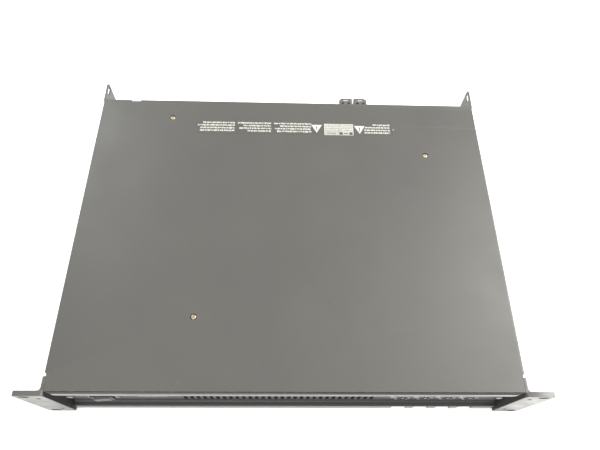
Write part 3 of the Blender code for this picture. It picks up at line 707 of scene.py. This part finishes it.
def end_plates_and_shade_liners(rubber_and_shade, steel):
    """Dark end plates over the ends of the recess, each held by one cross-head screw, and a dark liner on
    each ear's inner wall in front of the face, which is painted shade.
    """
    outline = ((206.4, 74.0), (213.9, 74.0), (213.9, 15.6), (212.6, 15.6), (209.6, 22.0), (207.4, 30.0))
    # The liner is painted shade: a dark sheet over the ear's inner wall, darker than the ear's own paint,
    # where that wall lies in shade.
    shade_liner = (214.14, 214.36)
    head_high = 1.2
    for side, sign in SIDES:
        plate = [(sign * x, z) for x, z in outline]
        plate_and_liner = Draft().prism(plate, (-0.02, 0.25), "-Y", face_point(0, 0))
        # Painted shade: the dark liner sheet on the ear's inner wall, in the plate's piece.
        plate_and_liner.block(sorted(sign * x for x in shade_liner), (0.4, FACE_Y + 1.5), (2.0, 85.0))
        plate_and_liner.finish(f"end_plate_and_shade_liner_{side}", rubber_and_shade, slot="black_plastic")
        low, high = extent(f"panel_screw_{side}")
        spot = (low + high) / 2
        seat = (spot.x, low.y + head_high, spot.z)
        screw = Draft().screw(seat, "-Y", 3.4, head_high, turn=0.5 * sign)
        screw.shank(seat, "+Y", 1.4, 0, high.y - low.y - head_high)
        screw.finish(f"panel_screw_head_{side}", steel, slot="zinc_plated",
                     replaces=[f"panel_screw_{side}"])


def vent_filter(foam):
    """A pleated dust filter just behind the front vents."""
    first, last, pleats = -104.0, 88.5, 77
    front, deep, back = 11.35, 0.7, 13.2
    pleated = [(first + (last - first) * i / pleats, front + deep * (i % 2)) for i in range(pleats + 1)]
    sheet = Draft().prism([*pleated, (last, back), (first, back)], (16.0, 66.0))
    sheet.finish("vent_filter", foam)


# The rear

def round_section(radius, wire):
    """The profile of a wire ring, as (radius, height)."""
    return arc((radius, 0), wire, 0, 360, WIRE_SIDES)[:-1]


def fan_corners():
    """The places of the fan's four screws, on a 71.5 mm square."""
    low, high = extent("fan_frame")
    inset = (high.x - low.x - 71.5) / 2
    return [(x, z) for x in (low.x + inset, high.x - inset) for z in (low.z + inset, high.z - inset)]


def wire_guard(steel, dark_steel):
    """Four welded rings on two crossed wires, whose ends turn into eyes for the screws."""
    low, high = extent("fan_guard")
    hub, wire, eye = (low + high) / 2, 0.9, 3.1
    ring_y, bar_y = low.y + wire, high.y - wire
    guard = Draft()
    for radius in (11.0, 20.0, 29.0, 38.0):
        guard.turned(round_section(radius, wire), "+Y", (hub.x, ring_y, hub.z), 96)
    corners = fan_corners()
    for start, end in ((corners[0], corners[3]), (corners[1], corners[2])):
        a, b = Vector((start[0], 0, start[1])), Vector((end[0], 0, end[1]))
        along = (b - a).normalized() * eye
        path = [a + along + Vector((0, ring_y, 0)), a + along * 2.6 + Vector((0, bar_y, 0)),
                b - along * 2.6 + Vector((0, bar_y, 0)), b - along + Vector((0, ring_y, 0))]
        guard.tube(path, wire)
    screws = Draft()
    for x, z in corners:
        guard.turned(round_section(eye, wire), "+Y", (x, ring_y, z), 32)
        seat = (x, low.y + 1.5, z)
        screws.screw(seat, "+Y", 3.3, 1.9, turn=x)
        screws.shank(seat, "+Y", 1.5, -6.0, 0.1, 16)
    guard.finish("wire_fan_guard", steel, slot="zinc_plated", replaces=["fan_guard"])
    screws.finish("fan_screws", dark_steel)


def blade(draft, hub, turn, near, far):
    """One swept, cambered blade, thickest in its middle."""
    chord, reach = 8, 8
    root, length = 15.2, 21.5
    points = []
    for side in (-1, 1):
        for i in range(reach + 1):
            share = i / reach
            radius, sweep = root + length * share, 0.35 + 0.13 * share
            for j in range(chord + 1):
                t = j / chord
                half = 0.75 * math.sin(math.pi * (0.10 + 0.80 * t)) * side
                angle = turn + sweep * (2 * t - 1) + 0.10 * math.sin(math.pi * t) + half / radius
                depth = near + 1.0 + (far - near - 2.0) * t
                points.append((hub.x + radius * math.cos(angle), depth, hub.z + radius * math.sin(angle)))
    across, one = chord + 1, (reach + 1) * (chord + 1)
    faces = []
    for start in (0, one):
        for i in range(reach):
            for j in range(chord):
                a = start + i * across + j
                faces.append((a, a + 1, a + across + 1, a + across))
    rim = list(range(across)) + [i * across + chord for i in range(1, reach + 1)]
    rim += [reach * across + j for j in reversed(range(chord))]
    rim += [i * across for i in range(reach - 1, 0, -1)]
    for a, b in zip(rim, rim[1:] + rim[:1]):
        faces.append((a, b, one + b, one + a))
    draft.add(points, faces)


def fan_wheel(black, film):
    """A cup-shaped hub with seven blades, and a round label on the hub."""
    blades = 7
    low, high = extent("fan_rotor")
    hub, near, far = (low + high) / 2, low.y, high.y
    wheel = Draft()
    cup = [(0, near), (17.0, near), (17.0, far - 2.4), (16.6, far - 1.0), (15.6, far - 0.2), (14.6, far),
           (13.4, far), (13.0, far - 0.5), (0, far - 0.5)]
    wheel.turned(cup, "+Y", (hub.x, 0, hub.z), 72)
    for number in range(blades):
        blade(wheel, hub, 2 * math.pi * number / blades, near, far)
    wheel.finish("fan_wheel_moulding", black, "fan_wheel", "black_plastic", ["fan_rotor"])
    disc = Draft().turned([(0, far - 0.5), (11.8, far - 0.5), (11.8, far - 0.35), (0, far - 0.35)], "+Y",
                          (hub.x, 0, hub.z), 64)
    disc.finish("fan_hub_label", film, "fan_wheel")


def output_plug_details(dark_steel, white):
    """Clamp screws in their wells, and a plain mark over each wire's place."""
    well_y, aside, mark_up = 341.0, 3.6, 11.6
    for number in CHANNELS:
        low, high = extent(f"output_plug_{number}")
        x, rear = (low.x + high.x) / 2, high.y
        screws = Draft()
        for dx in (-aside, aside):
            screws.screw((x + dx, well_y, high.z - 1.55), "+Z", 1.55, 1.1, turn=number + dx)
        screws.finish(f"plug_screws_{number}", dark_steel, f"plug_{number}", "zinc_plated")
        marks, thick, z = Draft(), (rear, rear + INK_THICK), low.z + mark_up
        marks.block(span(x, 2.6), (344.9, 345.5), (high.z, high.z + INK_THICK))
        for dx in (-aside, aside):
            marks.block(span(x + dx, 1.3), thick, span(z, 0.28))
        marks.block(span(x + aside, 0.28), thick, span(z, 1.3))
        marks.finish(f"plug_marks_{number}", white, f"plug_{number}")


def plug_ribs(terminal):
    """Grip ribs across the top and bottom of each output plug."""
    proud, sunk, wide = 0.35, 0.05, 0.6
    for number in CHANNELS:
        low, high = extent(f"output_plug_{number}")
        ribs = Draft()
        for y in (335.4, 336.6, 337.8):
            for z0, z1 in ((high.z - sunk, high.z + proud), (low.z - proud, low.z + sunk)):
                ribs.block(span((low.x + high.x) / 2, 6.4), (y, y + wide), (z0, z1))
        ribs.finish(f"plug_grip_{number}", terminal, f"plug_{number}", "terminal_black", bevel=0.12)


def xlr_details(steel, dark_steel, gold):
    """Three sprung contacts, a metal ring, two screws and the release tab of each input socket."""
    contacts, screws = Draft(), Draft()
    circle, contact_y = 4.8, 327.0
    sleeve_wall = [(0.75, 0), (1.3, 0), (1.3, 6.8), (0.95, 7.2), (0.75, 6.8)]
    for number in CHANNELS:
        low, high = extent(f"xlr_input_{number}")
        x, z, face = (low.x + high.x) / 2, (low.z + high.z) / 2, high.y
        for angle in (0, math.pi, 1.5 * math.pi):
            at = (x + circle * math.cos(angle), contact_y, z + circle * math.sin(angle))
            contacts.turned(sleeve_wall, "+Y", at, 20)
        for dx, dz in ((-9.5, 12.0), (9.5, -12.0)):
            screws.screw((x + dx, face - 0.6, z + dz), "+Y", 2.3, 1.3, turn=number)
        ring = [(9.7, -0.1), (11.0, -0.1), (11.0, 0.25), (10.7, 0.5), (10.0, 0.5), (9.7, 0.25)]
        collar = Draft().turned(ring, "+Y", (x, face, z), 64)
        collar.finish(f"xlr_ring_{number}", steel, slot="zinc_plated")
        xlr_latch(number, steel)
    contacts.finish("xlr_contacts", gold)
    screws.finish("xlr_screws", dark_steel)


def xlr_latch(number, steel):
    """A pressed release tab with three grip ridges on its thumb end."""
    low, high = extent(f"xlr_latch_{number}")
    y0, y1, z0, z1 = low.y, high.y, low.z, high.z
    ridges = []
    for step in range(3):
        y = y1 - 1.0 - 1.1 * step
        ridges += [(y, z1), (y - 0.35, z1 - 0.35), (y - 0.7, z1 - 0.35), (y - 1.0, z1)]
    side = [(y0, z0), (y1 - 0.9, z0), (y1, z0 + 1.3), (y1, z1 - 0.8), (y1 - 0.6, z1), *ridges, (y0, z1)]
    tab = Draft().prism(side, (low.x, high.x), "+X")
    tab.finish(f"xlr_latch_tab_{number}", steel, f"xlr_release_{number}", "zinc_plated",
               [f"xlr_latch_{number}"], bevel=0.15, segments=1)


def inlet_details(steel, dark_steel):
    """The mains inlet's three flat pins and its two fixing screws."""
    spot, face = middle("mains_inlet"), extent("mains_inlet")[1].y
    pins = Draft()
    for dx, dz in ((-7, -1), (0, 3), (7, -1)):
        pins.block(span(spot.x + dx, 1.2), (319.0, 330.0), span(spot.z + dz, 2.2))
    pins.finish("inlet_pins", steel, bevel=0.4)
    screws = Draft()
    for dx in (-20, 20):
        screws.screw((spot.x + dx, face - 0.7, spot.z), "+Y", 2.9, 1.3, turn=dx)
    screws.finish("inlet_screws", dark_steel)


def breaker_details(steel, red, white):
    """The breaker's reset button, the hexagon nut round its neck and a printed ring."""
    spot, (low, high) = middle("breaker_button"), extent("breaker_button")
    x, z, end = spot.x, spot.z, high.y
    crown = [(3.0, end - 1.6), (2.85, end - 0.9), (2.3, end - 0.3), (1.2, end), (0, end)]
    cap = Draft().turned([(0, low.y), (3.0, low.y), *crown], "+Y", (x, 0, z), 40)
    cap.finish("reset_button_cap", red, "breaker_reset", "red_plastic", ["breaker_button"])
    corners = arc((0, 0), 8.3, 0, 360, 6)
    seat = (x, REAR_FACE + 0.35, z)
    nut = Draft().turned([(5.6, 0), (7.1, 0), (7.1, 3.2), (6.6, 3.6), (5.9, 3.6), (5.6, 3.3)], "+Y",
                         seat, 48)
    inner = 0.8
    for a, b in zip(corners, corners[1:]):
        flat = [(a[0] * inner, a[1] * inner), a, b, (b[0] * inner, b[1] * inner)]
        nut.prism(flat, (0.0, 2.8), "+Y", seat)
    nut.finish("breaker_nut", steel, bevel=0.15)
    ring = [(10.0, 0), (10.6, 0), (10.6, INK_THICK), (10.0, INK_THICK)]
    Draft().turned(ring, "+Y", (x, REAR_FACE, z), 64).finish("breaker_mark", white)


def rear_marks(white):
    """Dots that count the channels over a line under each socket, and a bracket over the outputs."""
    ys = (REAR_FACE, REAR_FACE + INK_THICK)
    dot_radius, dot_pitch = 0.7, 2.2
    dot_shape = [(0, 0), (dot_radius, 0), (dot_radius, INK_THICK), (0, INK_THICK)]
    marks = Draft()
    for number in CHANNELS:
        low, high = extent(f"xlr_input_{number}")
        x = (low.x + high.x) / 2
        for dot in range(number):
            across = x + dot_pitch * (dot - (number - 1) / 2)
            marks.turned(dot_shape, "+Y", (across, REAR_FACE, high.z + 3.4), 16)
        marks.block(span(x, 11.0), ys, (low.z - 3.0, low.z - 2.6))
    outputs = (59.6, 92.4)
    for x in outputs:
        marks.block(span(x, 0.2), ys, (83.2, 85.6))
    marks.block(outputs, ys, (85.3, 85.7))
    marks.finish("rear_marks", white)


def rear_plate(film, black_ink):
    """A pale plate with five rows of plain bars."""
    (left, right), (low, high), thick = (112.0, 196.0), (12.0, 33.0), 0.12
    outline = rounded((-right, -left), (low, high), 1.5)
    Draft().prism(outline, (0, thick), "+Y", (0, REAR_FACE, 0)).finish("rear_plate", film)
    rng = random.Random(31)
    bars = Draft()
    ys = (REAR_FACE + thick, REAR_FACE + thick + INK_THICK)
    for row in range(5):
        x, end = left + 4.0, right - rng.uniform(4.0, 22.0)
        z = low + 3.0 + 3.4 * row
        while x < end:
            length = min(rng.uniform(2.0, 6.0), end - x)
            bars.block((x, x + length), ys, (z, z + 1.4))
            x += length + 1.1
    bars.finish("rear_plate_bars", black_ink)


def fixings(dark_steel):
    """Pan heads that hold the rack ears and the rear support ears."""
    heads = Draft()
    for sign, axis in ((-1, "-X"), (1, "+X")):
        for z in (24.0, 64.0):
            seat = (sign * 217.2, 11.6, z)
            heads.screw(seat, axis, 3.6, 1.7, turn=z)
            heads.shank(seat, axis, 1.8, -4.0, 0.1, 16)
        for z in (20.0, 68.0):
            seat = (sign * 210.5, REAR_FACE + 2.2, z)
            heads.screw(seat, "+Y", 3.2, 1.8, turn=z)
            heads.shank(seat, "+Y", 1.6, -5.0, 0.1, 16)
    heads.finish("ear_screws", dark_steel)


# Stage

FLOOR_GLOW, HORIZON, ZENITH = 0.45, 0.35, 1.35
LIT_POINT = Vector((0, 0, 0.05))


def stage():
    """A pale floor just under the object."""
    bpy.ops.mesh.primitive_plane_add(size=14, location=(0, 0, CAD_LOW.z - 0.0005))
    floor = bpy.context.object
    floor.name = "floor"
    floor.data.materials.append(floor_finish())


def light(name, location, energy, size, colour):
    """A round soft light, aimed at the middle of the object."""
    data = bpy.data.lights.new(name, "AREA")
    data.energy, data.color = energy, colour
    data.shape, data.size = "DISK", size
    made = bpy.data.objects.new(name, data)
    made.location = location
    made.rotation_euler = (LIT_POINT - Vector(location)).to_track_quat("-Z", "Y").to_euler()
    bpy.context.scene.collection.objects.link(made)


def sky():
    """Soft light from above: brightest overhead, dim at the horizon, and plain white to look at."""
    world = bpy.data.worlds.new("studio")
    world.use_nodes = True
    tree = world.node_tree
    nodes, link = tree.nodes, tree.links.new
    soft, plain = nodes["Background"], nodes.new("ShaderNodeBackground")
    plain.inputs["Color"].default_value = (1.0, 1.0, 1.0, 1)
    soft.inputs["Color"].default_value = (1.0, 0.995, 0.98, 1)
    coords, split = nodes.new("ShaderNodeTexCoord"), nodes.new("ShaderNodeSeparateXYZ")
    rise = nodes.new("ShaderNodeMapRange")
    rise.inputs["From Min"].default_value, rise.inputs["From Max"].default_value = 0.0, 0.9
    rise.inputs["To Min"].default_value, rise.inputs["To Max"].default_value = HORIZON, ZENITH
    path, mix = nodes.new("ShaderNodeLightPath"), nodes.new("ShaderNodeMixShader")
    link(coords.outputs["Generated"], split.inputs["Vector"])
    link(split.outputs["Z"], rise.inputs["Value"])
    link(rise.outputs["Result"], soft.inputs["Strength"])
    link(path.outputs["Is Camera Ray"], mix.inputs["Fac"])
    link(soft.outputs["Background"], mix.inputs[1])
    link(plain.outputs["Background"], mix.inputs[2])
    link(mix.outputs["Shader"], nodes["World Output"].inputs["Surface"])
    bpy.context.scene.world = world


def lights():
    sky()
    light("key", (1.5, 0.5, 1.5), 60, 1.3, (1.0, 0.985, 0.95))
    light("front_fill", (-0.4, -1.9, 1.3), 16, 1.4, (1.0, 0.99, 0.97))
    light("rear_fill", (-1.3, 1.3, 1.3), 16, 1.2, (0.97, 0.985, 1.0))
    bpy.context.scene.view_settings.view_transform = "Standard"


def camera():
    """The photograph's view: from above the front, looking down along the face."""
    data = bpy.data.cameras.new("camera")
    data.sensor_width, data.lens = 36.0, 31.087
    data.clip_start, data.clip_end = 0.01, 60
    made = bpy.data.objects.new("camera", data)
    made.location = (-0.00499, -0.25595, 0.56407)
    made.rotation_euler = Euler([math.radians(a) for a in (27.452, -1.871, -0.179)], "XYZ")
    bpy.context.scene.collection.objects.link(made)
    bpy.context.scene.camera = made


def each(name):
    """The names of the nodes that there is one of for each channel."""
    return [f"{name}_{number}" for number in CHANNELS]


def main():
    coat, ears, bezel = powder_coat(), anodised(), bezel_finish()
    black = plastic("black_plastic", (0.035, 0.035, 0.034), 0.42)
    # Dark rubber of the knob caps; the same colour also gives the painted shade of the liners on the ears'
    # inner walls.
    rubber_and_shade = plastic("dark_rubber_and_shade", (0.020, 0.020, 0.020), 0.60)
    grey = plastic("grey_plastic", (0.135, 0.135, 0.13), 0.60)
    housing = plastic("switch_housing", (0.090, 0.090, 0.086), 0.50)
    red = plastic("red_plastic", (0.42, 0.025, 0.015), 0.35)
    unlit = plastic("unlit_lens", (0.085, 0.028, 0.024), 0.30)
    terminal = plastic("terminal_black", (0.10, 0.10, 0.096), 0.42)
    ferrite = plastic("ferrite", (0.075, 0.075, 0.082), 0.65)
    brass = metal("yellow_zinc", (0.52, 0.45, 0.32), 0.36)
    steel = metal("zinc_plated", (0.68, 0.67, 0.63), 0.30)
    dull_steel = metal("dull_zinc", (0.34, 0.335, 0.32), 0.52)
    aluminium = metal("bare_aluminium", (0.74, 0.75, 0.76), 0.34, (1, 0.04, 1))
    dark_steel = metal("black_screws", (0.16, 0.155, 0.15), 0.36)
    gold = metal("contact_gold", (0.90, 0.68, 0.32), 0.25)
    foam = plastic("filter_foam", (0.012, 0.012, 0.012), 0.85, 2200.0)
    plate_film = ink("plate_film", (0.62, 0.61, 0.58))
    green, wire, cans, window = board(), copper(), sleeve(), lens()
    white = ink("white_ink", (0.80, 0.79, 0.74))
    film = ink("label_film", (0.062, 0.062, 0.058))
    label_ink = ink("label_ink", (0.50, 0.49, 0.44))
    pale_ink = ink("pale_ink", (0.42, 0.42, 0.385))
    grey_ink = ink("grey_ink", (0.13, 0.13, 0.12))
    black_ink = ink("black_ink", (0.05, 0.05, 0.048))

    dress(coat, "chassis_tray", "top_cover", "rear_panel", "rear_ear_left", "rear_ear_right")
    dress(ears, "rack_ear_left", "rack_ear_right")
    dress(bezel, "front_panel")
    dress(housing, "power_switch_housing")
    dress(black, "mains_inlet", "breaker_body", "fan_frame", "fan_rotor", *each("xlr_input"))
    dress(red, "breaker_button")
    dress(unlit, "power_led")
    dress(terminal, "output_header", *each("output_plug"))
    dress(steel, "fan_guard", *each("level_pot"), *each("xlr_latch"))
    dress(aluminium, "heatsink_left", "heatsink_right")
    dress(green, "control_board", "input_board", "power_supply_board", "amplifier_board")
    dress(wire, "mains_choke", *each("output_inductor"))
    dress(cans, "bulk_capacitor_1", "bulk_capacitor_2")
    dress(ferrite, "switching_transformer")
    dress(window, "level_lens_bar")

    cover_screws(brass)
    label(film, label_ink, pale_ink, grey_ink, black_ink)
    level_controls(rubber_and_shade, white)
    power_rocker(grey)
    front_print(white, pale_ink)
    end_plates_and_shade_liners(rubber_and_shade, dull_steel)
    vent_filter(foam)
    wire_guard(steel, dark_steel)
    fan_wheel(black, film)
    output_plug_details(dark_steel, white)
    plug_ribs(terminal)
    xlr_details(steel, dark_steel, gold)
    inlet_details(steel, dark_steel)
    breaker_details(steel, red, white)
    rear_marks(white)
    rear_plate(plate_film, black_ink)
    fixings(dark_steel)
    stage()
    lights()
    camera()


main()
